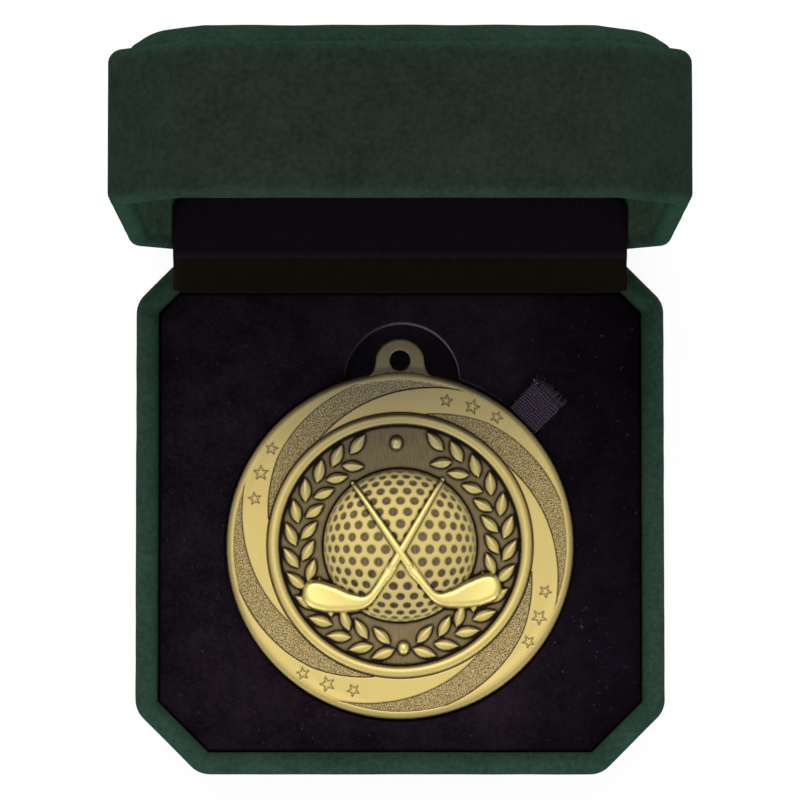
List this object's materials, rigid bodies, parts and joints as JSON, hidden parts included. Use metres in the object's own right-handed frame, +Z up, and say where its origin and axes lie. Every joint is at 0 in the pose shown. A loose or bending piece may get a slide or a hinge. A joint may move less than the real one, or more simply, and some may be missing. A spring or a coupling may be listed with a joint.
{
  "type": "cased medal",
  "caption": "Velour-covered octagonal presentation case with a sprung lid, open, holding a round golf medal with a loop in a velvet insert with a pull ribbon.",
  "frame": {"origin": "middle of the base's underside, on the sole", "axes": "+Z up, +Y towards the hinge, +X to the right of someone who faces the opening; the case stands open"},
  "size_m": [0.093, 0.1188, 0.1164],
  "materials": {
    "velour_green": "matte velour",
    "shell_plastic": "matte",
    "sole_felt": "matte felt",
    "foam": "matte open foam",
    "card": "matte",
    "velvet_black": "matte velvet",
    "ribbon": "ribbed weave",
    "medal_gold": "satin with dark antique recesses",
    "hinge_steel": "plain",
    "spring_steel": "blued",
    "hinge_cloth": "matte coated cloth"
  },
  "bodies": {
    "base": {"base_shell": "shell_plastic", "base_cover": "velour_green", "base_sole": "sole_felt", "insert_foam": "foam", "insert_board": "card", "insert_seat": "card", "insert_velvet": "velvet_black", "ribbon_tail": "ribbon", "hinge_leaf_base": "hinge_steel", "hinge_pin": "hinge_steel", "hinge_rivets_base": "hinge_steel", "hinge_spring": "spring_steel", "hinge_liner": "hinge_cloth"},
    "lid": {"lid_shell": "shell_plastic", "lid_cover": "velour_green", "lid_top_board": "card", "lid_top_foam": "foam", "lid_top_cover": "velour_green", "lid_lining_board": "card", "lid_lining_pad": "foam", "lid_lining_cover": "velvet_black", "hinge_leaf_lid": "hinge_steel", "hinge_rivets_lid": "hinge_steel"},
    "medal": {"medal": "medal_gold"},
    "ribbon": {"pull_ribbon": "ribbon"}
  },
  "joints": [
    {"name": "lid_hinge", "type": "hinge", "parent": "base", "child": "lid", "pos_m": [0, 0.04546, 0.02389], "axis": [-1, 0, 0], "range_deg": [-90, 0], "deforming": ["hinge_spring", "hinge_liner"]},
    {"name": "medal_lift", "type": "slide", "parent": "base", "child": "medal", "axis": [0, 0, 1], "range_m": [0, 0.06]},
    {"name": "ribbon_lift", "type": "hinge", "parent": "base", "child": "ribbon", "pos_m": [0.02145, 0.01512, 0.01827], "axis": [0.7133, -0.7009, 0], "range_deg": [0, 80]}
  ]
}
